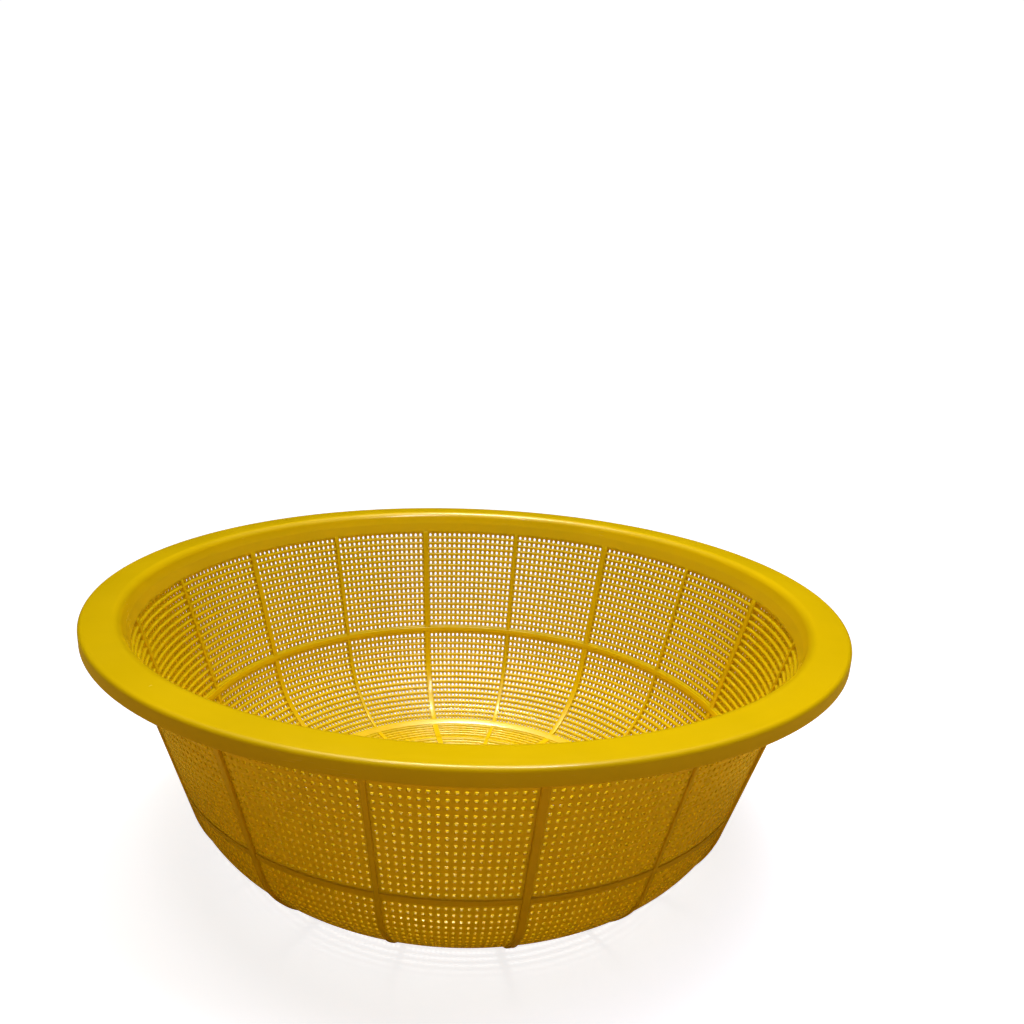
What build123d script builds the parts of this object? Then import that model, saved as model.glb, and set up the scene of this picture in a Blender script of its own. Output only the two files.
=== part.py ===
"""Round sieve basin: one plastic moulding, divided into its rim, mesh, rib, ring and hub regions.

Millimetres, +Z up. The origin is the centre of the circle that the foot ring stands on.
The mesh has two layers. Strands run down the wall and across the base on the outside,
with slots between them. Hoops run round on the inside, with grooves between them. A hole
is where a slot crosses a groove.
"""
from build123d import *
from math import asin, cos, degrees, radians, sin, tan
import os

os.makedirs("parts", exist_ok=True)

# Driving dimensions
rim_radius = 220.0
overall_height = 159.0
wall_lean = 15.5            # degrees outward from upright
corner_radius = 68.0        # outer face of the bend between wall and base
base_edge = 106.0           # radius where the bend would start from a flat base
foot_drop = 2.0             # foot ring below the base mesh
strand_depth = 1.2          # outer layer of the mesh
hoop_depth = 1.2            # inner layer of the mesh

# Rim
flange_inner_radius = 199.6  # where the collar's inner face would meet the flange's top
flange_fall = 0.2            # top of the flange, lower at its outer edge
flange_thickness = 2.4
flange_inner_round = 6.0
flange_under_round = 7.0
flange_outer_round = 2.2
lip_drop = 9.1
lip_thickness = 2.4
lip_edge_round = 0.6
collar_drop = 9.0            # flange top down to the top of the collar
mesh_top_drop = 15.4         # flange top down to the first row of holes

# Waist band and foot ring
waist_drop = 94.7            # flange top down to the middle of the band
waist_width = 3.8
waist_proud = 0.7
foot_ring_radius = 120.6
foot_ring_width = 5.6
foot_ring_proud = 0.5        # above the mesh, inside the basin

# Ribs: wide and narrow ones take turns round the basin
rib_pairs = 8
wide_rib_width = 4.4
wide_rib_proud = 1.4
narrow_rib_width = 2.8
narrow_rib_proud = 1.0
rib_inner_proud = 0.4
rib_overrun = 6.0            # rib carried up the outside of the collar

# Mesh
wall_columns = 18            # holes from one rib to the next
wall_rows = 17
outer_base_columns = 8
inner_base_columns = 4
base_rows = 5
edge_strip = 0.6             # plain strip that closes each panel at its ends
open_part = 0.5              # share of the pitch that is slot or groove

# Base rings, as radii of their middle lines
large_ring_radius = 96.5
medium_ring_radius = 72.4
small_ring_radius = 48.2
base_ring_width = 2.4
base_ring_proud = 0.4
hub_radius = 21.7
hub_proud = 0.4

# Worked out from the above
mesh_depth = strand_depth + hoop_depth
sector = 360 / (2 * rib_pairs)
corner_turn = radians(90 - wall_lean)
corner_length = corner_radius * corner_turn
cut_over = 1.0               # how far a cutter passes its work
base_inner_face = foot_drop + mesh_depth


def shell_point(travel, depth):
    """Radius and height of a point on the corner or wall.

    travel is measured up the outer face from base_edge; depth is square in from that face.
    """
    turn = min(travel / corner_radius, corner_turn)
    straight = max(travel - corner_length, 0)
    radius = base_edge + (corner_radius - depth) * sin(turn) + straight * cos(corner_turn)
    height = corner_radius - (corner_radius - depth) * cos(turn) + straight * sin(corner_turn)
    return (radius, foot_drop + height)


def travel_to_height(height):
    """Travel of the straight wall's outer face at this height."""
    bend_top = shell_point(corner_length, 0)[1]
    return corner_length + (height - bend_top) / sin(corner_turn)


def meridian(start, end, depth):
    """Draw the shell's line between two travels in the BuildLine that is open."""
    if start < corner_length:
        bend_end = min(end, corner_length)
        middle = (start + bend_end) / 2
        ThreePointArc(
            shell_point(start, depth), shell_point(middle, depth), shell_point(bend_end, depth)
        )
    if end > corner_length:
        Line(shell_point(max(start, corner_length), depth), shell_point(end, depth))


def shell_band(start, end, outer_depth, inner_depth):
    """Profile of the shell between two travels and two depths."""
    with BuildSketch(Plane.XZ) as band:
        with BuildLine():
            meridian(start, end, outer_depth)
            meridian(start, end, inner_depth)
            Line(shell_point(start, outer_depth), shell_point(start, inner_depth))
            Line(shell_point(end, outer_depth), shell_point(end, inner_depth))
        make_face()
    return band.sketch


def flat_band(inner_radius, outer_radius, low, high):
    """Profile of a flat ring of the base."""
    with BuildSketch(Plane.XZ) as band:
        with Locations(((inner_radius + outer_radius) / 2, (low + high) / 2)):
            Rectangle(outer_radius - inner_radius, high - low)
    return band.sketch


def rib_slab(width, angle):
    """Upright slab along one rib, for cutting the ring-shaped regions apart."""
    with BuildPart() as slab:
        with Locations(Location((0, 0, 0), (0, 0, angle))):
            Box(
                rim_radius,
                width,
                2 * overall_height,
                align=(Align.MIN, Align.CENTER, Align.CENTER),
            )
    return slab.part


def cut_at_ribs(ring_profile):
    """Ring with gaps for all the ribs."""
    with BuildPart() as ring:
        revolve(ring_profile, axis=Axis.Z)
        with PolarLocations(0, rib_pairs):
            add(rib_slab(narrow_rib_width, 0), mode=Mode.SUBTRACT)
            add(rib_slab(wide_rib_width, sector), mode=Mode.SUBTRACT)
    return ring


def column_angles(columns, narrowest):
    """First angle and pitch of the columns that fit between a narrow and a wide rib."""
    first = degrees(asin(narrow_rib_width / 2 / narrowest))
    last = sector - degrees(asin(wide_rib_width / 2 / narrowest))
    return first, (last - first) / columns


def open_span(columns, narrowest):
    """Angle where the first slot starts, and the angle from there to the last slot's end."""
    first, pitch = column_angles(columns, narrowest)
    shut = (1 - open_part) * pitch
    return first + shut / 2, columns * pitch - shut


def slotted_panel(plate, slot, columns, narrowest):
    """One panel of strands between a narrow rib and the next wide rib."""
    start = open_span(columns, narrowest)[0]
    pitch = column_angles(columns, narrowest)[1]
    with BuildPart() as cutter:
        revolve(slot, axis=Axis.Z, revolution_arc=open_part * pitch)
    with BuildPart() as panel:
        revolve(plate, axis=Axis.Z, revolution_arc=sector)
        add(rib_slab(narrow_rib_width, 0), mode=Mode.SUBTRACT)
        add(rib_slab(wide_rib_width, sector), mode=Mode.SUBTRACT)
        with PolarLocations(0, columns, start_angle=start, angular_range=columns * pitch):
            add(cutter.part, mode=Mode.SUBTRACT)
    return panel


def grooved_panel(plate, grooves, columns, narrowest):
    """One panel of hoops between a narrow rib and the next wide rib."""
    start, span = open_span(columns, narrowest)
    with BuildPart() as cutter:
        revolve(grooves, axis=Axis.Z, revolution_arc=span)
    with BuildPart() as panel:
        revolve(plate, axis=Axis.Z, revolution_arc=sector)
        add(rib_slab(narrow_rib_width, 0), mode=Mode.SUBTRACT)
        add(rib_slab(wide_rib_width, sector), mode=Mode.SUBTRACT)
        with Locations(Location((0, 0, 0), (0, 0, start))):
            add(cutter.part, mode=Mode.SUBTRACT)
    return panel


def all_round(panel):
    """The panel and its mirror image, repeated round the basin."""
    with BuildPart(mode=Mode.PRIVATE) as pair:
        add(panel.part)
        mirror(about=Plane.XZ)
    with BuildPart() as ring:
        with PolarLocations(0, rib_pairs):
            add(pair.part)
    return ring


def row_edges(start, end, rows):
    """Start and end of each groove between two closing strips."""
    pitch = (end - start - 2 * edge_strip) / rows
    shut = (1 - open_part) * pitch
    first = start + edge_strip + shut / 2
    return [(first + row * pitch, first + row * pitch + pitch - shut) for row in range(rows)]


def wall_strands(start, end):
    """Strand layer of the wall or corner between two travels."""
    narrowest = shell_point(start, mesh_depth)[0]
    plate = shell_band(start, end, 0, strand_depth)
    slot = shell_band(
        start + edge_strip, end - edge_strip, -cut_over, strand_depth + cut_over
    )
    return all_round(slotted_panel(plate, slot, wall_columns, narrowest))


def wall_hoops(start, end):
    """Hoop layer of the wall or corner between two travels."""
    narrowest = shell_point(start, mesh_depth)[0]
    plate = shell_band(start, end, strand_depth, mesh_depth)
    with BuildSketch(Plane.XZ) as grooves:
        for low, high in row_edges(start, end, wall_rows):
            add(shell_band(low, high, strand_depth - cut_over, mesh_depth + cut_over))
    return all_round(grooved_panel(plate, grooves.sketch, wall_columns, narrowest))


def base_strands(inner_radius, outer_radius, columns):
    """Strand layer of one zone of the base."""
    plate = flat_band(inner_radius, outer_radius, foot_drop, foot_drop + strand_depth)
    slot = flat_band(
        inner_radius + edge_strip,
        outer_radius - edge_strip,
        foot_drop - cut_over,
        foot_drop + strand_depth + cut_over,
    )
    return all_round(slotted_panel(plate, slot, columns, inner_radius))


def base_hoops(inner_radius, outer_radius, columns):
    """Hoop layer of one zone of the base."""
    plate = flat_band(inner_radius, outer_radius, foot_drop + strand_depth, base_inner_face)
    with BuildSketch(Plane.XZ) as grooves:
        for low, high in row_edges(inner_radius, outer_radius, base_rows):
            add(flat_band(low, high, foot_drop, base_inner_face + cut_over))
    return all_round(grooved_panel(plate, grooves.sketch, columns, inner_radius))


def base_ring(radius):
    """Raised ring of the base, cut through by the spokes."""
    return cut_at_ribs(
        flat_band(
            radius - base_ring_width / 2,
            radius + base_ring_width / 2,
            foot_drop - base_ring_proud,
            base_inner_face + base_ring_proud,
        )
    )


def wall_ribs(width, proud, first_angle):
    """Ribs from the foot ring to the collar, each through the whole thickness of the mesh."""
    overrun = mesh_top + rib_overrun
    with BuildPart() as rib:
        with BuildSketch(Plane.XZ) as profile:
            with BuildLine():
                meridian(foot_ring_outer_travel, overrun, -proud)
                Line(shell_point(overrun, -proud), shell_point(overrun, 0))
                Line(shell_point(overrun, 0), shell_point(mesh_top, 0))
                Line(shell_point(mesh_top, 0), shell_point(mesh_top, mesh_depth + rib_inner_proud))
                meridian(foot_ring_outer_travel, mesh_top, mesh_depth + rib_inner_proud)
                Line(
                    shell_point(foot_ring_outer_travel, mesh_depth + rib_inner_proud),
                    shell_point(foot_ring_outer_travel, -proud),
                )
            make_face()
        extrude(amount=width / 2, both=True)
    with BuildPart() as ribs:
        with PolarLocations(0, rib_pairs, start_angle=first_angle):
            add(rib.part)
    return ribs


def spokes(width, proud, first_angle):
    """Spokes from the hub to the foot ring, ended to fit both."""
    with BuildPart() as spoke:
        with Locations((0, 0, foot_drop - proud)):
            Box(
                rim_radius,
                width,
                mesh_depth + proud + rib_inner_proud,
                align=(Align.MIN, Align.CENTER, Align.MIN),
            )
        with BuildSketch(Plane.XY) as reach:
            Circle(foot_ring_radius - foot_ring_width / 2)
            Circle(hub_radius, mode=Mode.SUBTRACT)
        extrude(amount=overall_height, mode=Mode.INTERSECT)
    with BuildPart() as ring:
        with PolarLocations(0, rib_pairs, start_angle=first_angle):
            add(spoke.part)
    return ring


def write_part(name, builder):
    """Label a finished region and write its file."""
    builder.part.label = name
    export_step(builder.part, f"parts/{name}.step")


# Where the regions of the wall end, as travel up the outer face
mesh_top = travel_to_height(overall_height - mesh_top_drop)
collar_top = travel_to_height(overall_height - collar_drop)
waist_middle = travel_to_height(overall_height - waist_drop)
waist_low = waist_middle - waist_width / 2
waist_high = waist_middle + waist_width / 2
foot_ring_outer_travel = corner_radius * asin(
    (foot_ring_radius + foot_ring_width / 2 - base_edge) / corner_radius
)

# Rim flange: rounded over from the collar, nearly flat, with a rounded outer edge
collar_outer = shell_point(collar_top, 0)
collar_inner = shell_point(collar_top, mesh_depth)
flange_top = overall_height
flange_edge_top = overall_height - flange_fall
flange_edge_bottom = flange_edge_top - flange_thickness
under_corner_radius = collar_outer[0] + tan(radians(wall_lean)) * (
    flange_edge_bottom - collar_outer[1]
)
with BuildPart() as rim_flange:
    with BuildSketch(Plane.XZ) as flange_profile:
        with BuildLine():
            Polyline(
                collar_inner,
                (flange_inner_radius, flange_top),
                (rim_radius, flange_edge_top),
                (rim_radius, flange_edge_bottom),
                (under_corner_radius, flange_edge_bottom),
                collar_outer,
                close=True,
            )
        make_face()
        for corner, corner_round in (
            ((flange_inner_radius, flange_top), flange_inner_round),
            ((under_corner_radius, flange_edge_bottom), flange_under_round),
            ((rim_radius, flange_edge_top), flange_outer_round),
        ):
            nearest = flange_profile.vertices().sort_by_distance((*corner, 0))[0]
            fillet(nearest, radius=corner_round)
    revolve(axis=Axis.Z)
write_part("rim_flange", rim_flange)

# Rim lip: turned down from the flange's outer edge
with BuildPart() as rim_lip:
    with BuildSketch(Plane.XZ):
        with BuildLine():
            Polyline(
                (rim_radius, flange_edge_bottom),
                (rim_radius, overall_height - lip_drop),
                (rim_radius - lip_thickness, overall_height - lip_drop),
                (rim_radius - lip_thickness, flange_edge_bottom),
                close=True,
            )
        make_face()
    revolve(axis=Axis.Z)
    fillet(rim_lip.edges().group_by(Axis.Z)[0], radius=lip_edge_round)
write_part("rim_lip", rim_lip)

# Collar: the plain band above the mesh
with BuildPart() as collar:
    revolve(shell_band(mesh_top, collar_top, 0, mesh_depth), axis=Axis.Z)
write_part("collar", collar)

# Wall mesh, its waist band, and the mesh round the corner
write_part("upper_wall_strands", wall_strands(waist_high, mesh_top))
write_part("upper_wall_hoops", wall_hoops(waist_high, mesh_top))
write_part(
    "waist_band",
    cut_at_ribs(shell_band(waist_low, waist_high, -waist_proud, mesh_depth + waist_proud)),
)
write_part("corner_strands", wall_strands(foot_ring_outer_travel, waist_low))
write_part("corner_hoops", wall_hoops(foot_ring_outer_travel, waist_low))
write_part("wide_wall_ribs", wall_ribs(wide_rib_width, wide_rib_proud, sector))
write_part("narrow_wall_ribs", wall_ribs(narrow_rib_width, narrow_rib_proud, 0))

# Foot ring: stands on the ground, and joins the corner mesh to the base mesh
foot_inner_radius = foot_ring_radius - foot_ring_width / 2
foot_outer_bottom = shell_point(foot_ring_outer_travel, 0)
foot_outer_top = shell_point(foot_ring_outer_travel, mesh_depth)
with BuildPart() as foot_ring:
    with BuildSketch(Plane.XZ):
        with BuildLine():
            Polyline(
                (foot_inner_radius, 0),
                (foot_outer_bottom[0], 0),
                foot_outer_bottom,
                foot_outer_top,
                (foot_outer_top[0], foot_outer_top[1] + foot_ring_proud),
                (foot_inner_radius, base_inner_face + foot_ring_proud),
                close=True,
            )
        make_face()
    revolve(axis=Axis.Z)
write_part("foot_ring", foot_ring)

# Base mesh zones and the rings between them, from the foot ring in to the hub
half_ring = base_ring_width / 2
base_zones = {
    "outer_base": (large_ring_radius + half_ring, foot_inner_radius, outer_base_columns),
    "middle_base": (
        medium_ring_radius + half_ring,
        large_ring_radius - half_ring,
        outer_base_columns,
    ),
    "inner_base": (
        small_ring_radius + half_ring,
        medium_ring_radius - half_ring,
        inner_base_columns,
    ),
    "centre_base": (hub_radius, small_ring_radius - half_ring, inner_base_columns),
}
for zone, (inner_radius, outer_radius, columns) in base_zones.items():
    write_part(f"{zone}_strands", base_strands(inner_radius, outer_radius, columns))
    write_part(f"{zone}_hoops", base_hoops(inner_radius, outer_radius, columns))
write_part("large_base_ring", base_ring(large_ring_radius))
write_part("medium_base_ring", base_ring(medium_ring_radius))
write_part("small_base_ring", base_ring(small_ring_radius))
write_part("wide_spokes", spokes(wide_rib_width, wide_rib_proud, sector))
write_part("narrow_spokes", spokes(narrow_rib_width, narrow_rib_proud, 0))

# Hub: the plain disc in the middle of the base
with BuildPart() as hub:
    with BuildSketch(Plane.XY.offset(foot_drop - hub_proud)):
        Circle(hub_radius)
    extrude(amount=mesh_depth + 2 * hub_proud)
write_part("hub", hub)
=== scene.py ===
"""Round sieve basin in glossy yellow plastic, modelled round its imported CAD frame.

Metres, +Z up. The origin is the centre of the circle that the foot ring stands on. The wall is
drawn with two coordinates: travel runs up its outer face, from where the bend would leave a
flat base, and depth runs square in from that face. On the base, travel is the radius.
"""
from collections import namedtuple
from math import acos, atan2, cos, pi, radians, sin, tan

import bpy
import numpy as np
from mathutils import Matrix, Vector


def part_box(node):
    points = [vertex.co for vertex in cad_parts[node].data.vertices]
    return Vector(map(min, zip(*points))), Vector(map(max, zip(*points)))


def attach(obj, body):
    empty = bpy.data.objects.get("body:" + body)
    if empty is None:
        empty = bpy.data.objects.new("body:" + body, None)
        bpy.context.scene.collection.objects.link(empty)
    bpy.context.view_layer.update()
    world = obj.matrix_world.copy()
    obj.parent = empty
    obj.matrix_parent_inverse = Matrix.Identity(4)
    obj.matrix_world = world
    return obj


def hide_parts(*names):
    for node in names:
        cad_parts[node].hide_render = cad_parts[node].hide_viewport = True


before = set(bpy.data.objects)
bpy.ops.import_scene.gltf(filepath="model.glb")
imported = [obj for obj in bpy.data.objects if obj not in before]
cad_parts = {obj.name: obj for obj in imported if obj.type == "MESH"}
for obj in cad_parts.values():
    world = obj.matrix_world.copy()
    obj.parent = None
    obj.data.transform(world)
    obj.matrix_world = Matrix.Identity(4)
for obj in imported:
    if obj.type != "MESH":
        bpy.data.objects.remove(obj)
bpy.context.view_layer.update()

MM = 0.001

# Sizes that the CAD model fixes
rim_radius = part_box("rim_lip")[1][0]
rim_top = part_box("rim_flange")[1][2]
lip_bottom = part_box("rim_lip")[0][2]
foot_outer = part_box("foot_ring")[1][0]
hub_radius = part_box("hub")[1][0]

# The shell's shape, as in the CAD model
wall_lean = radians(15.5)
corner_radius = 68 * MM
base_edge = 106 * MM
foot_drop = 2 * MM
shell_depth = 2.4 * MM
corner_turn = pi / 2 - wall_lean
corner_length = corner_radius * corner_turn

# Rim
flange_inner_radius = 199.6 * MM
flange_fall = 0.2 * MM
flange_thickness = 2.4 * MM
flange_inner_round = 6 * MM
flange_under_round = 7 * MM
flange_outer_round = 2.35 * MM
lip_thickness = 2.4 * MM
lip_edge_round = 0.8 * MM
collar_drop = 9 * MM
collar_step = 0.06 * MM         # the collar stands this much proud of the mesh that ends in it
mesh_top_drop = 15.4 * MM

# Waist band, foot ring, base rings and hub
waist_drop = 94.7 * MM
waist_width = 3.8 * MM
waist_proud = 0.55 * MM
waist_round = 0.6 * MM
foot_ring_width = 5.6 * MM
foot_ring_proud = 0.5 * MM
foot_ring_rounds = (0.7 * MM, 1.2 * MM, 0, 0.6 * MM, 0.6 * MM)
base_ring_radii = {"large": 96.5 * MM, "medium": 72.4 * MM, "small": 48.2 * MM}
base_ring_width = 2.4 * MM
base_ring_proud = 0.4 * MM
hub_proud = 0.4 * MM
hub_round = 0.7 * MM

# Ribs: narrow ones stand at 0, 45, ... degrees and wide ones half-way between
rib_pairs = 8
sector = pi / rib_pairs
rib_widths = {"narrow": 2.8 * MM, "wide": 4.4 * MM}
rib_prouds = {"narrow": 1.0 * MM, "wide": 1.4 * MM}
rib_inner_proud = 0.4 * MM
rib_side_lean = 0.12            # how far a rib's sides lean in, as a share of how proud it is
rib_round = 0.55 * rib_prouds["narrow"]
rib_overrun = 6 * MM            # how far a rib runs up past the mesh, over the collar
rib_fade = 3 * MM               # the end of that, where it fades into the collar
rib_foot_tuck = 0.8 * MM        # how far its lower end runs into the foot ring
rib_merge = 2 * MM              # its inner part sinks into the collar over this length
rib_foot_width = 0.86           # a rib's width at the foot ring, as a share of its width at the top
rib_foot_proud = 0.45           # the same for how proud it is
spoke_tuck = 1 * MM             # how far a spoke's ends run into the hub and the foot ring

# Mesh: every cell has one hole, and a rounded hoop runs between the rows inside the basin
edge_strip = 0.6 * MM
groove_depth = 1.25 * MM        # from the outer face to the bottom of a groove
hole_half = 0.23                # of the pitch
hole_bevel = 0.045              # of the pitch
hole_bevel_depth = 0.24 * MM
hole_sink = 0.12 * MM           # a hole's inner edge, below the groove's bottom
hole_flat = 0.5                 # straight part of each side of a hole
groove_half = 0.265             # of the pitch
hoop_angles = (0, radians(35), radians(65), pi / 2)
end_tuck = 1.2 * MM             # how far a panel's ends run into the bands beyond its rows
side_tuck = 0.6 * MM            # how far its sides run into the ribs

round_steps = 480               # facets round a turned piece
rib_steps = 90                  # sections along a wall rib, below its faded end
fade_steps = 8
spoke_steps = 24
flange_arc_steps = 10
ring_arc_steps = 4
rib_arc_steps = 5
sharp_angle = radians(38)       # edges sharper than this are shaded as edges


# ---------------------------------------------------------------- shapes

def shell_point(travel, depth):
    """Radius and height on the corner and wall."""
    turn = np.clip(travel / corner_radius, 0, corner_turn)
    straight = np.maximum(travel - corner_length, 0)
    radius = base_edge + (corner_radius - depth) * np.sin(turn) + straight * cos(corner_turn)
    height = corner_radius - (corner_radius - depth) * np.cos(turn) + straight * sin(corner_turn)
    return radius, foot_drop + height


def base_point(travel, depth):
    """Radius and height on the flat base."""
    return travel + 0 * depth, foot_drop + depth + 0 * travel


def travel_to_height(height):
    """Travel of the straight wall's outer face at this height."""
    bend_top = shell_point(corner_length, 0)[1]
    return corner_length + (height - bend_top) / sin(corner_turn)


def rounded(corners, rounds, steps=7):
    """Closed outline through the corners, where each is turned by an arc of its own radius."""
    outline = []
    for number, (corner, radius) in enumerate(zip(corners, rounds)):
        corner = Vector(corner)
        if radius == 0:
            outline.append(corner)
            continue
        back = (Vector(corners[number - 1]) - corner).normalized()
        onward = (Vector(corners[(number + 1) % len(corners)]) - corner).normalized()
        half = acos(back.dot(onward)) / 2
        centre = corner + (back + onward).normalized() * radius / sin(half)
        start = corner + back * radius / tan(half) - centre
        end = corner + onward * radius / tan(half) - centre
        first = atan2(start.y, start.x)
        sweep = (atan2(end.y, end.x) - first + pi) % (2 * pi) - pi
        for step in range(steps + 1):
            angle = first + sweep * step / steps
            outline.append(centre + radius * Vector((cos(angle), sin(angle))))
    return np.array(outline)


def shell_outline(low, high, outer, inner, rounds):
    """Rounded outline of a band between two travels and two depths, as radii and heights."""
    outline = rounded(((low, outer), (high, outer), (high, inner), (low, inner)), rounds)
    return np.stack(shell_point(*outline.T), axis=-1)


def counter_clockwise(outline):
    """The outline, turned round if it runs clockwise."""
    x, y = outline.T
    area = np.sum(x * np.roll(y, -1) - np.roll(x, -1) * y)
    return outline if area > 0 else outline[::-1]


def bands(rings, wrap):
    """Quads that join each ring of point numbers to the next, and the last to the first if wrap."""
    nexts = np.roll(rings, -1, axis=0)
    if not wrap:
        rings, nexts = rings[:-1], nexts[:-1]
    quads = (rings, nexts, np.roll(nexts, -1, axis=1), np.roll(rings, -1, axis=1))
    return np.stack(quads, axis=-1).reshape(-1, 4)


def spun(radius, height):
    """Points of an outline turned about the Z axis, and their numbers with one row for each step."""
    angle = np.arange(round_steps)[:, None] * 2 * pi / round_steps
    places = (radius * np.cos(angle), radius * np.sin(angle), height + 0 * angle)
    numbers = np.arange(round_steps * len(radius)).reshape(round_steps, -1)
    return np.stack(places, axis=-1).reshape(-1, 3), numbers


def turned(outline):
    """Points and faces of a closed outline turned about the Z axis."""
    points, numbers = spun(*counter_clockwise(outline).T)
    return points, [bands(numbers, True)]


def turned_disc(outline):
    """Points and faces of an outline turned about the Z axis, from its low pole to its high one."""
    points, numbers = spun(*np.array(outline[1:-1]).T)
    rows = numbers.T
    low_pole = numbers.size
    high_pole = low_pole + 1
    poles = np.array([(0, 0, outline[0][1]), (0, 0, outline[-1][1])])
    side = bands(rows, False)[:, ::-1]
    bottom = np.stack((0 * rows[0] + low_pole, np.roll(rows[0], -1), rows[0]), axis=-1)
    top = np.stack((0 * rows[0] + high_pole, rows[-1], np.roll(rows[-1], -1)), axis=-1)
    return np.concatenate((points, poles)), [side, bottom, top]


def about_axis(radius, across, height, angle):
    """Points beside a radial line, turned about the Z axis."""
    x = radius * np.cos(angle) - across * np.sin(angle)
    y = radius * np.sin(angle) + across * np.cos(angle)
    return np.stack((x, y, height), axis=-1)


def bar(section, travels, widths, lifts, place, angle):
    """Points and faces of a rib: a section of (across, depth) points carried along the shell.

    At each travel the section's width is scaled by widths, and its depths outside the shell by lifts.
    """
    across = section[:, 0] * widths[:, None]
    depth = np.where(section[:, 1] < 0, section[:, 1] * lifts[:, None], section[:, 1])
    radius, height = place(travels[:, None] + 0 * depth, depth)
    points = about_axis(radius, across, height, angle)
    numbers = np.arange(across.size).reshape(across.shape)
    return points.reshape(-1, 3), [bands(numbers, False), numbers[:1, ::-1], numbers[-1:]]


# ---------------------------------------------------------------- perforated panels

Zone = namedtuple("Zone", "name start end columns rows place pieces")
OCTAGON = np.array([(-1, -1), (1, -1), (1, -1), (1, 1), (1, 1), (-1, 1), (-1, 1), (-1, -1)], float)
OCTAGON[[0, 1, 4, 5], 0] *= hole_flat
OCTAGON[[2, 3, 6, 7], 1] *= hole_flat


def around_holes(corners, ring):
    """Faces between each cell's four corners and the ring of eight points in it."""
    quads, triangles = [], []
    for side in range(4):
        first, second = corners[side], corners[(side + 1) % 4]
        start, end = ring[..., 2 * side], ring[..., 2 * side + 1]
        quads.append(np.stack((first, second, end, start), -1))
        triangles.append(np.stack((first, start, ring[..., 2 * side - 1]), -1))
    return [np.concatenate(quads).reshape(-1, 4), np.concatenate(triangles).reshape(-1, 3)]


def cell_corners(grid):
    """The four corners of every cell of a grid of point numbers, counter-clockwise from outside."""
    return grid[:-1, :-1], grid[:-1, 1:], grid[1:, 1:], grid[1:, :-1]


def panel_place(zone, left, right, column, row, depth):
    """Points of a panel from its column and row coordinates. left and right are (angle, half width)."""
    pitch = (zone.end - zone.start) / zone.rows
    travel = zone.start + np.clip(row, 0, zone.rows) * pitch
    travel += (np.minimum(row, 0) + np.maximum(row - zone.rows, 0)) * end_tuck
    radius, height = zone.place(travel, depth)
    left_half = left[1] + np.minimum(column, 0) * side_tuck
    right_half = right[1] - np.maximum(column - zone.columns, 0) * side_tuck
    first = left[0] + np.arcsin(left_half / radius)
    last = right[0] - np.arcsin(right_half / radius)
    angle = first + (last - first) * np.clip(column, 0, zone.columns) / zone.columns
    return about_axis(radius, 0 * radius, height, angle)


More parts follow.
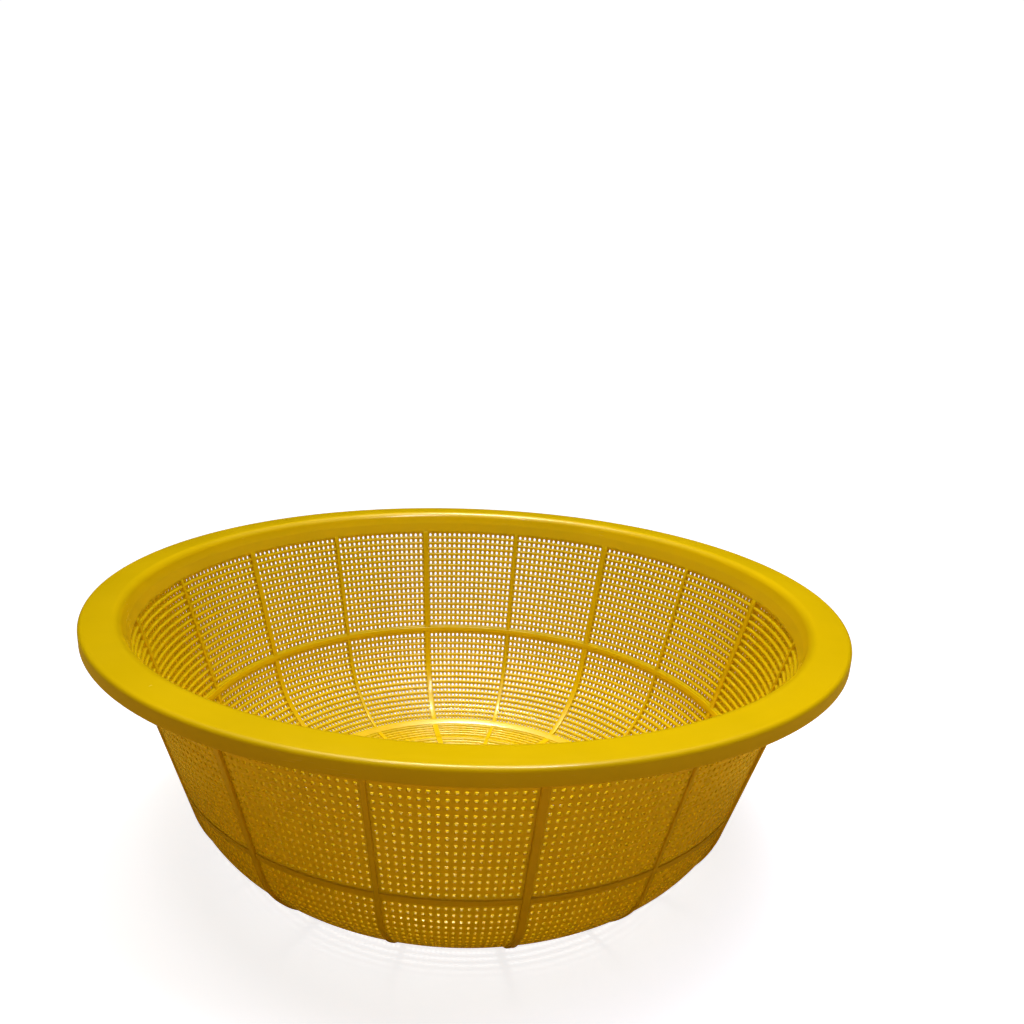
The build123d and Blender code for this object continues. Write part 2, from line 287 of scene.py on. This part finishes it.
def panel(zone, left, right):
    """Points and faces of one closed perforated plate between two ribs."""
    points = []

    def add(column, row, depth):
        column, row, depth = np.broadcast_arrays(column, row, depth)
        before = sum(len(block) for block in points)
        points.append(panel_place(zone, left, right, column, row, depth).reshape(-1, 3))
        return before + np.arange(column.size).reshape(column.shape)

    columns = np.arange(-1, zone.columns + 2, dtype=float)
    rows = np.arange(-1, zone.rows + 2, dtype=float)[:, None]
    outer = add(columns, rows, 0)

    # Inner face: from the middle of one hoop, down to the groove, across it and up to the next hoop
    fall = (0.5 - groove_half) * np.sin(hoop_angles)
    rise = (shell_depth - groove_depth) * np.cos(hoop_angles)
    row_steps = np.concatenate((fall, 1 - fall[:0:-1]))
    row_depths = groove_depth + np.concatenate((rise, rise[:0:-1]))
    inner_rows = (np.arange(zone.rows)[:, None] + row_steps).ravel()
    inner_rows = np.concatenate(([-1], inner_rows, [zone.rows, zone.rows + 1]))
    inner_depths = np.concatenate(([shell_depth], np.tile(row_depths, zone.rows), [shell_depth] * 2))
    inner = add(columns, inner_rows[:, None], inner_depths[:, None])
    lines = len(row_steps)
    grooves = 1 + lines * np.arange(zone.rows) + len(hoop_angles) - 1

    middles = np.arange(zone.columns)[:, None] + 0.5
    row_middles = np.arange(zone.rows)[:, None, None] + 0.5

    def ring(half, depth):
        return add(middles + half * OCTAGON[:, 0], row_middles + half * OCTAGON[:, 1], depth)

    rings = (
        ring(hole_half + hole_bevel, 0),
        ring(hole_half, hole_bevel_depth),
        ring(hole_half, groove_depth - hole_sink),
    )

    faces = around_holes([corner[1:-1, 1:-1] for corner in cell_corners(outer)], rings[0])
    plain = np.ones((zone.rows + 2, zone.columns + 2), bool)
    plain[1:-1, 1:-1] = False
    faces.append(np.stack([corner[plain] for corner in cell_corners(outer)], axis=-1))
    for upper, lower in zip(rings, rings[1:]):
        walls = (upper, np.roll(upper, -1, axis=-1), np.roll(lower, -1, axis=-1), lower)
        faces.append(np.stack(walls, axis=-1).reshape(-1, 4))

    floors = [corner[grooves, 1:-1] for corner in cell_corners(inner)]
    faces += [group[:, ::-1] for group in around_holes(floors, rings[-1])]
    plain = np.ones((len(inner_rows) - 1, zone.columns + 2), bool)
    plain[grooves, 1:-1] = False
    faces.append(np.stack([corner[plain] for corner in cell_corners(inner)], axis=-1)[:, ::-1])

    # Ends, and sides with one face to each row
    faces.append(np.stack((outer[0, 1:], outer[0, :-1], inner[0, :-1], inner[0, 1:]), axis=-1))
    faces.append(np.stack((outer[-1, :-1], outer[-1, 1:], inner[-1, 1:], inner[-1, :-1]), axis=-1))
    for side, turn in ((0, 1), (-1, -1)):
        out, into = outer[:, side], inner[:, side]
        for low, high in ((0, 1), (-2, -1)):
            faces.append(np.array([(out[low], out[high], into[high], into[low])])[:, ::turn])
        hoops = 1 + lines * np.arange(zone.rows)
        shape = [out[1:-2], out[2:-1]] + [into[hoops + step] for step in range(lines, -1, -1)]
        faces.append(np.stack(shape, axis=-1)[:, ::turn])
    return np.concatenate(points), faces


def joined(parts):
    """One set of points and faces from several."""
    points, faces, before = [], [], 0
    for part_points, part_faces in parts:
        points.append(part_points)
        faces += [group + before for group in part_faces]
        before += len(part_points)
    return np.concatenate(points), faces


# ---------------------------------------------------------------- materials

# Scales of the finish's patterns, in repeats to the metre
cloud_scale = 14
patch_scale = 30
wave_scale = 38
grain_scale = 1600
scuff_scales = (90, 90, 1400)   # short up the basin, so that scuffs run round it

deep_share = 0.93               # the darker pigment, as a share of the colour
edge_sharpness = (0.53, 0.62)   # pointiness where wear begins, and where it is full
edge_wear = 0.35
scuff_roughness = 0.03
wave_strength = 0.12
wave_height = 0.6 * MM
grain_height = 0.05 * MM
scatter_reach = 6 * MM          # how far light goes in the plastic
scatter_colour = (1.0, 0.9, 0.6)


def linked(nodes, links, kind, inputs, **settings):
    """A new node with its settings, and its inputs set to values or linked to sockets."""
    node = nodes.new(kind)
    for name, value in settings.items():
        setattr(node, name, value)
    for name, value in inputs.items():
        if isinstance(value, bpy.types.NodeSocket):
            links.new(value, node.inputs[name])
        else:
            node.inputs[name].default_value = value
    return node


def plastic(name, colour, pale, smoothest, roughest, grain, scatter):
    """Glossy moulded polypropylene with cloudy pigment, fine grain, faint scuffs and worn edges.

    scatter is how much of the light goes into the plastic instead of off its surface.
    """
    material = bpy.data.materials.new(name)
    material.use_nodes = True
    nodes, links = material.node_tree.nodes, material.node_tree.links
    shader = nodes["Principled BSDF"]
    place = nodes.new("ShaderNodeTexCoord").outputs["Object"]

    def noise(scale, detail, vector=place):
        inputs = {"Vector": vector, "Scale": scale, "Detail": detail}
        return linked(nodes, links, "ShaderNodeTexNoise", inputs).outputs["Fac"]

    def spread(value, low, high, new_low, new_high):
        inputs = {"Value": value, "From Min": low, "From Max": high}
        inputs |= {"To Min": new_low, "To Max": new_high}
        return linked(nodes, links, "ShaderNodeMapRange", inputs).outputs["Result"]

    def blend(share, first, second):
        node = linked(nodes, links, "ShaderNodeMix", {"Factor": share}, data_type="RGBA")
        for socket, value in ((node.inputs[6], first), (node.inputs[7], second)):
            if isinstance(value, bpy.types.NodeSocket):
                links.new(value, socket)
            else:
                socket.default_value = value
        return node.outputs[2]

    # Colour: cloudy pigment, and edges rubbed a little paler
    cloud = spread(noise(cloud_scale, 4), 0.35, 0.65, 0.0, 1.0)
    deep = tuple(channel * deep_share for channel in colour[:3]) + (1,)
    pointiness = nodes.new("ShaderNodeNewGeometry").outputs["Pointiness"]
    edge = spread(pointiness, *edge_sharpness, 0.0, edge_wear)
    pigment = blend(cloud, deep, colour)
    links.new(blend(edge, pigment, pale), shader.inputs["Base Color"])

    # Roughness: soft patches from handling, with fine scuffs drawn round the basin
    stretch = {"Vector": place, "Scale": scuff_scales}
    scuffs = noise(1, 3, linked(nodes, links, "ShaderNodeMapping", stretch).outputs["Vector"])
    patches = spread(noise(patch_scale, 5), 0.3, 0.7, smoothest, roughest)
    scuffed = linked(
        nodes, links, "ShaderNodeMath",
        {0: patches, 1: spread(scuffs, 0.6, 0.75, 0.0, scuff_roughness)}, operation="ADD",
    )
    links.new(scuffed.outputs[0], shader.inputs["Roughness"])

    # Bump: moulding waviness under a fine grain
    wave = linked(
        nodes, links, "ShaderNodeBump",
        {"Strength": wave_strength, "Distance": wave_height, "Height": noise(wave_scale, 2)},
    )
    fine = linked(
        nodes, links, "ShaderNodeBump",
        {
            "Strength": grain,
            "Distance": grain_height,
            "Height": noise(grain_scale, 3),
            "Normal": wave.outputs["Normal"],
        },
    )
    links.new(fine.outputs["Normal"], shader.inputs["Normal"])

    shader.inputs["IOR"].default_value = 1.49
    shader.inputs["Coat Weight"].default_value = 0.35
    shader.inputs["Coat Roughness"].default_value = 0.04
    shader.inputs["Subsurface Weight"].default_value = scatter
    shader.inputs["Subsurface Radius"].default_value = scatter_colour
    shader.inputs["Subsurface Scale"].default_value = scatter_reach
    return material


def floor_material(paper, backlight, bounce):
    """Pale paper, lit from below. Bounce is the colour of what it throws back on the basin."""
    material = bpy.data.materials.new("pale_floor")
    material.use_nodes = True
    nodes, links = material.node_tree.nodes, material.node_tree.links
    nodes.clear()
    seen = nodes.new("ShaderNodeLightPath").outputs["Is Camera Ray"]
    lit = linked(nodes, links, "ShaderNodeBsdfDiffuse", {"Color": paper}).outputs[0]
    light = {"Color": (1, 1, 1, 1), "Strength": backlight}
    glow = linked(nodes, links, "ShaderNodeEmission", light).outputs[0]
    shown = linked(nodes, links, "ShaderNodeAddShader", {0: lit, 1: glow}).outputs[0]
    thrown = linked(nodes, links, "ShaderNodeBsdfDiffuse", {"Color": bounce}).outputs[0]
    mix = linked(nodes, links, "ShaderNodeMixShader", {0: seen, 1: thrown, 2: shown})
    links.new(mix.outputs[0], nodes.new("ShaderNodeOutputMaterial").inputs["Surface"])
    return material


yellow = (0.88, 0.595, 0.002, 1)
worn_yellow = (0.91, 0.67, 0.03, 1)
# Each finish: least and greatest roughness, strength of the grain, and scatter
finishes = {
    "rim_plastic": (0.17, 0.27, 0.10, 0.0),
    "mesh_plastic": (0.22, 0.32, 0.15, 0.6),
    "rib_plastic": (0.16, 0.26, 0.10, 0.3),
}
materials = {slot: plastic(slot, yellow, worn_yellow, *finish) for slot, finish in finishes.items()}


# ---------------------------------------------------------------- pieces

def make_piece(name, shape, slot, *nodes):
    """A finished piece that stands for its CAD nodes, rides on the basin's body and has its finish."""
    points, faces = shape
    mesh = bpy.data.meshes.new(name)
    mesh.vertices.add(len(points))
    mesh.vertices.foreach_set("co", points.ravel().astype(np.float32))
    corners = np.concatenate([group.ravel() for group in faces])
    sizes = np.concatenate([np.full(len(group), group.shape[1]) for group in faces])
    mesh.loops.add(len(corners))
    mesh.loops.foreach_set("vertex_index", corners.astype(np.int32))
    mesh.polygons.add(len(sizes))
    mesh.polygons.foreach_set("loop_start", (np.cumsum(sizes) - sizes).astype(np.int32))
    mesh.update(calc_edges=True)
    mesh.validate()
    mesh.shade_smooth()
    mesh.set_sharp_from_angle(angle=sharp_angle)
    mesh.materials.append(materials[slot])
    piece = bpy.data.objects.new(name, mesh)
    bpy.context.scene.collection.objects.link(piece)
    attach(piece, "root")
    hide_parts(*nodes)
    return piece


def rim_outline():
    """The flange: rounded over from the collar, nearly flat, and rounded again at its outer edge."""
    edge_top = rim_top - flange_fall
    edge_bottom = edge_top - flange_thickness
    outer = shell_point(collar_top, 0)
    inner = shell_point(collar_top, shell_depth)
    under = outer[0] + tan(wall_lean) * (edge_bottom - outer[1])
    corners = (
        inner,
        outer,
        (under, edge_bottom),
        (rim_radius, edge_bottom),
        (rim_radius, edge_top),
        (flange_inner_radius, rim_top),
    )
    rounds = (0, 0, flange_under_round, 0, flange_outer_round, flange_inner_round)
    return rounded(corners, rounds, steps=flange_arc_steps)


def lip_outline():
    """The lip that turns down from the flange's outer edge."""
    top = rim_top - flange_fall - flange_thickness
    inner = rim_radius - lip_thickness
    corners = ((inner, lip_bottom), (rim_radius, lip_bottom), (rim_radius, top), (inner, top))
    return rounded(corners, (lip_edge_round, lip_edge_round, 0, 0))


def collar_outline():
    """The plain band above the mesh, a hair thicker at the end that takes the mesh in."""
    corners = (
        shell_point(mesh_top, -collar_step),
        shell_point(collar_top, 0),
        shell_point(collar_top, shell_depth),
        shell_point(mesh_top, shell_depth + collar_step),
    )
    return np.array(corners)


def foot_ring_outline():
    """The foot ring: flat underneath, soft-edged, and a little proud of the mesh inside."""
    corners = (
        (foot_inner, 0),
        (foot_outer, 0),
        shell_point(foot_ring_travel, 0),
        shell_point(foot_ring_travel, shell_depth + foot_ring_proud),
        (foot_inner, foot_drop + shell_depth + foot_ring_proud),
    )
    return rounded(corners, foot_ring_rounds)


def base_ring_outline(radius):
    """A thin ring of the base, proud on both faces."""
    low, high = foot_drop - base_ring_proud, foot_drop + shell_depth + base_ring_proud
    inner, outer = radius - base_ring_width / 2, radius + base_ring_width / 2
    corners = ((inner, low), (outer, low), (outer, high), (inner, high))
    return rounded(corners, [base_ring_proud] * 4, steps=ring_arc_steps)


def hub_outline():
    """The plain flat disc in the middle of the base, rounded at its edge."""
    low, high = foot_drop - hub_proud, foot_drop + shell_depth + hub_proud
    corners = ((0, low), (hub_radius, low), (hub_radius, high), (0, high))
    return rounded(corners, (0, hub_round, hub_round, 0))


def rib_section(kind):
    """A rib's section, as (across, depth): soft corners outside, and tighter ones inside."""
    half = rib_widths[kind] / 2
    proud = rib_prouds[kind]
    inner = shell_depth + rib_inner_proud
    top = half - rib_side_lean * proud
    corners = ((-half, 0), (-top, -proud), (top, -proud), (half, 0), (half, inner), (-half, inner))
    rounds = (0, rib_round, rib_round, 0, rib_inner_proud, rib_inner_proud)
    return rounded(corners, rounds, steps=rib_arc_steps)


def wall_rib(kind, angle):
    """One rib: round the corner from the foot ring and up the wall, to fade into the collar."""
    fade_start = mesh_top + rib_overrun - rib_fade
    body = np.linspace(foot_ring_travel - rib_foot_tuck, fade_start, rib_steps)
    ending = np.linspace(0, 1, fade_steps + 1)[1:-1]
    travels = np.concatenate((body, fade_start + rib_fade * ending))
    share = (travels - travels[0]) / (travels[-1] - travels[0])
    widths = rib_foot_width + (1 - rib_foot_width) * share
    lifts = rib_foot_proud + (1 - rib_foot_proud) * np.sqrt(share)
    lifts[len(body):] *= np.sqrt(1 - ending ** 2)
    return bar(rib_section(kind)[::-1], travels, widths, lifts, rib_point, angle)


def rib_point(travel, depth):
    """Shell point for a rib, whose inner part ends inside the collar and doesn't pass through it."""
    inside = np.clip((travel - mesh_top) / rib_merge, 0, 1)
    buried = shell_depth / 2
    depth = np.where(depth > buried, depth + (buried - depth) * inside, depth)
    return shell_point(travel, depth)


def spoke(kind, angle):
    """One spoke of the base, from inside the hub's edge to inside the foot ring."""
    travels = np.linspace(hub_radius - spoke_tuck, foot_inner + spoke_tuck, spoke_steps)
    ones = np.ones(len(travels))
    return bar(rib_section(kind)[::-1], travels, ones, ones, base_point, angle)


collar_top = travel_to_height(rim_top - collar_drop)
mesh_top = travel_to_height(rim_top - mesh_top_drop)
waist_middle = travel_to_height(rim_top - waist_drop)
waist_low = waist_middle - waist_width / 2
waist_high = waist_middle + waist_width / 2
foot_ring_travel = corner_radius * np.arcsin((foot_outer - base_edge) / corner_radius)
foot_inner = foot_outer - foot_ring_width

make_piece("flange_moulding", turned(rim_outline()), "rim_plastic", "rim_flange")
make_piece("lip_moulding", turned(lip_outline()), "rim_plastic", "rim_lip")
make_piece("collar_moulding", turned(collar_outline()), "rim_plastic", "collar")
make_piece("hub_disc", turned_disc(hub_outline()), "rim_plastic", "hub")
make_piece("foot_moulding", turned(foot_ring_outline()), "rib_plastic", "foot_ring")
waist_inner = shell_depth + waist_proud
waist = shell_outline(waist_low, waist_high, -waist_proud, waist_inner, [waist_round] * 4)
make_piece("waist_moulding", turned(waist), "rib_plastic", "waist_band")
for size, radius in base_ring_radii.items():
    make_piece(f"{size}_ring", turned(base_ring_outline(radius)), "rib_plastic", f"{size}_base_ring")
for kind, first_angle in (("narrow", 0), ("wide", sector)):
    angles = [first_angle + 2 * sector * number for number in range(rib_pairs)]
    ribs = joined([wall_rib(kind, angle) for angle in angles])
    make_piece(f"{kind}_ribs", ribs, "rib_plastic", f"{kind}_wall_ribs")
    spokes = joined([spoke(kind, angle) for angle in angles])
    make_piece(f"{kind}_spoke_bars", spokes, "rib_plastic", f"{kind}_spokes")

half_ring = base_ring_width / 2
large, medium, small = base_ring_radii.values()
zones = [
    Zone("upper_wall", waist_high, mesh_top, 18, 17, shell_point, 4),
    Zone("corner", foot_ring_travel, waist_low, 18, 17, shell_point, 4),
    Zone("outer_base", large + half_ring, foot_inner, 8, 5, base_point, 1),
    Zone("middle_base", medium + half_ring, large - half_ring, 8, 5, base_point, 1),
    Zone("inner_base", small + half_ring, medium - half_ring, 4, 5, base_point, 1),
    Zone("centre_base", hub_radius, small - half_ring, 4, 5, base_point, 1),
]


def panel_from(zone, number):
    """The panel between one rib and the next."""
    kinds = ("narrow", "wide") if number % 2 == 0 else ("wide", "narrow")
    left, right = (
        ((number + side) * sector, rib_widths[kind] / 2) for side, kind in enumerate(kinds)
    )
    return panel(zone, left, right)


for zone in zones:
    zone = zone._replace(start=zone.start + edge_strip, end=zone.end - edge_strip)
    share = 2 * rib_pairs // zone.pieces
    for number in range(zone.pieces):
        panels = [panel_from(zone, number * share + step) for step in range(share)]
        name = f"{zone.name}_mesh" + (f"_{number + 1}" if zone.pieces > 1 else "")
        make_piece(name, joined(panels), "mesh_plastic", f"{zone.name}_strands", f"{zone.name}_hoops")


# ---------------------------------------------------------------- studio

def aimed(origin, target):
    """Rotation that points a light or camera from one place at another."""
    return (Vector(target) - Vector(origin)).to_track_quat("-Z", "Y").to_euler()


def area_light(name, place, target, size, power):
    """A plain white rectangular softbox, which also makes the streaks on the rim's edge."""
    data = bpy.data.lights.new(name, "AREA")
    data.shape = "RECTANGLE"
    data.size, data.size_y = size
    data.energy = power
    light = bpy.data.objects.new(name, data)
    light.location = place
    light.rotation_euler = aimed(place, target)
    bpy.context.scene.collection.objects.link(light)


def soft_sky(name, colour, place, strength, spread):
    """A very wide sun, which lights the basin and the floor evenly."""
    data = bpy.data.lights.new(name, "SUN")
    data.color = colour[:3]
    data.energy = strength
    data.angle = spread
    light = bpy.data.objects.new(name, data)
    light.rotation_euler = aimed(place, (0, 0, 0))
    bpy.context.scene.collection.objects.link(light)


def spot_light(name, colour, place, target, cone, power):
    """A soft-edged spot, to light the inside of the basin more than its outside."""
    data = bpy.data.lights.new(name, "SPOT")
    data.color = colour[:3]
    data.energy = power
    data.spot_size = cone
    data.spot_blend = 0.5
    data.shadow_soft_size = 0.25
    light = bpy.data.objects.new(name, data)
    light.location = place
    light.rotation_euler = aimed(place, target)
    bpy.context.scene.collection.objects.link(light)


def studio_world(colour, above, level, backdrop):
    """Light that fades from above down to level, and a plain pale backdrop behind the basin."""
    world = bpy.data.worlds.new("studio")
    world.use_nodes = True
    bpy.context.scene.world = world
    nodes, links = world.node_tree.nodes, world.node_tree.links
    nodes.clear()
    place = nodes.new("ShaderNodeTexCoord").outputs["Generated"]
    height = linked(nodes, links, "ShaderNodeSeparateXYZ", {0: place}).outputs["Z"]
    fade_end = 0.65
    inputs = {"Value": height, "From Min": fade_end, "To Min": level, "To Max": above}
    glow = linked(nodes, links, "ShaderNodeMapRange", inputs).outputs["Result"]
    room = linked(nodes, links, "ShaderNodeBackground", {"Color": colour, "Strength": glow})
    white = (1, 1, 0.99, 1)
    paper = linked(nodes, links, "ShaderNodeBackground", {"Color": white, "Strength": backdrop})
    seen = nodes.new("ShaderNodeLightPath").outputs["Is Camera Ray"]
    shaders = {0: seen, 1: room.outputs[0], 2: paper.outputs[0]}
    mix = linked(nodes, links, "ShaderNodeMixShader", shaders)
    output = nodes.new("ShaderNodeOutputWorld")
    links.new(mix.outputs[0], output.inputs["Surface"])


def make_floor(size, material):
    """The floor that the basin stands on."""
    mesh = bpy.data.meshes.new("studio_floor")
    corners = [(-size, -size, 0), (size, -size, 0), (size, size, 0), (-size, size, 0)]
    mesh.from_pydata(corners, [], [(0, 1, 2, 3)])
    mesh.materials.append(material)
    floor = bpy.data.objects.new("studio_floor", mesh)
    bpy.context.scene.collection.objects.link(floor)


def make_camera():
    """Camera close in front of the basin and a little above its rim, turned slightly on its axis."""
    reach = 2.393 * rim_radius
    azimuth = radians(-78.02)
    elevation = radians(17.8)
    tilt_up = radians(1.23)
    roll = radians(1.88)
    target = Vector((0, 0, rim_top))
    outward = Vector((cos(elevation) * cos(azimuth), cos(elevation) * sin(azimuth), sin(elevation)))
    right = Vector((0, 0, 1)).cross(outward).normalized()
    back = Matrix.Rotation(tilt_up, 3, right) @ outward
    up = back.cross(right)
    turn = Matrix((right, up, back)).transposed() @ Matrix.Rotation(roll, 3, "Z")
    data = bpy.data.cameras.new("camera")
    data.sensor_width = 36
    data.lens = 29.95
    data.shift_x = 0.044
    data.shift_y = 0.054
    camera = bpy.data.objects.new("camera", data)
    camera.matrix_world = Matrix.Translation(target + reach * outward) @ turn.to_4x4()
    bpy.context.scene.collection.objects.link(camera)
    bpy.context.scene.camera = camera


# The paper is bluish to cancel the warm light on it, so that it looks white
paper = (0.6, 0.63, 0.9, 1)
bounce = (0.64, 0.41, 0.05, 1)
warm = (1.0, 0.94, 0.62, 1)
middle = (0, 0, 0.1)            # a point inside the basin, for lights to aim at

make_floor(60, floor_material(paper, backlight=0.8, bounce=bounce))
make_camera()
studio_world(warm, above=0.8, level=0.0, backdrop=1.03)
soft_sky("sky", warm, place=(-0.1, 0.1, 1.0), strength=0.85, spread=radians(40))
spot_light(
    "bowl_light", warm, place=(-0.1, 0.3, 1.6), target=(0.04, 0.02, 0.1), cone=radians(17), power=95
)
area_light("key", place=(0.44, -0.32, 1.55), target=middle, size=(0.25, 0.5), power=5.5)
area_light("glint", place=(-0.24, -0.48, 1.50), target=(0, 0, 0.13), size=(0.06, 0.2), power=0.8)
bpy.context.scene.view_settings.view_transform = "Standard"
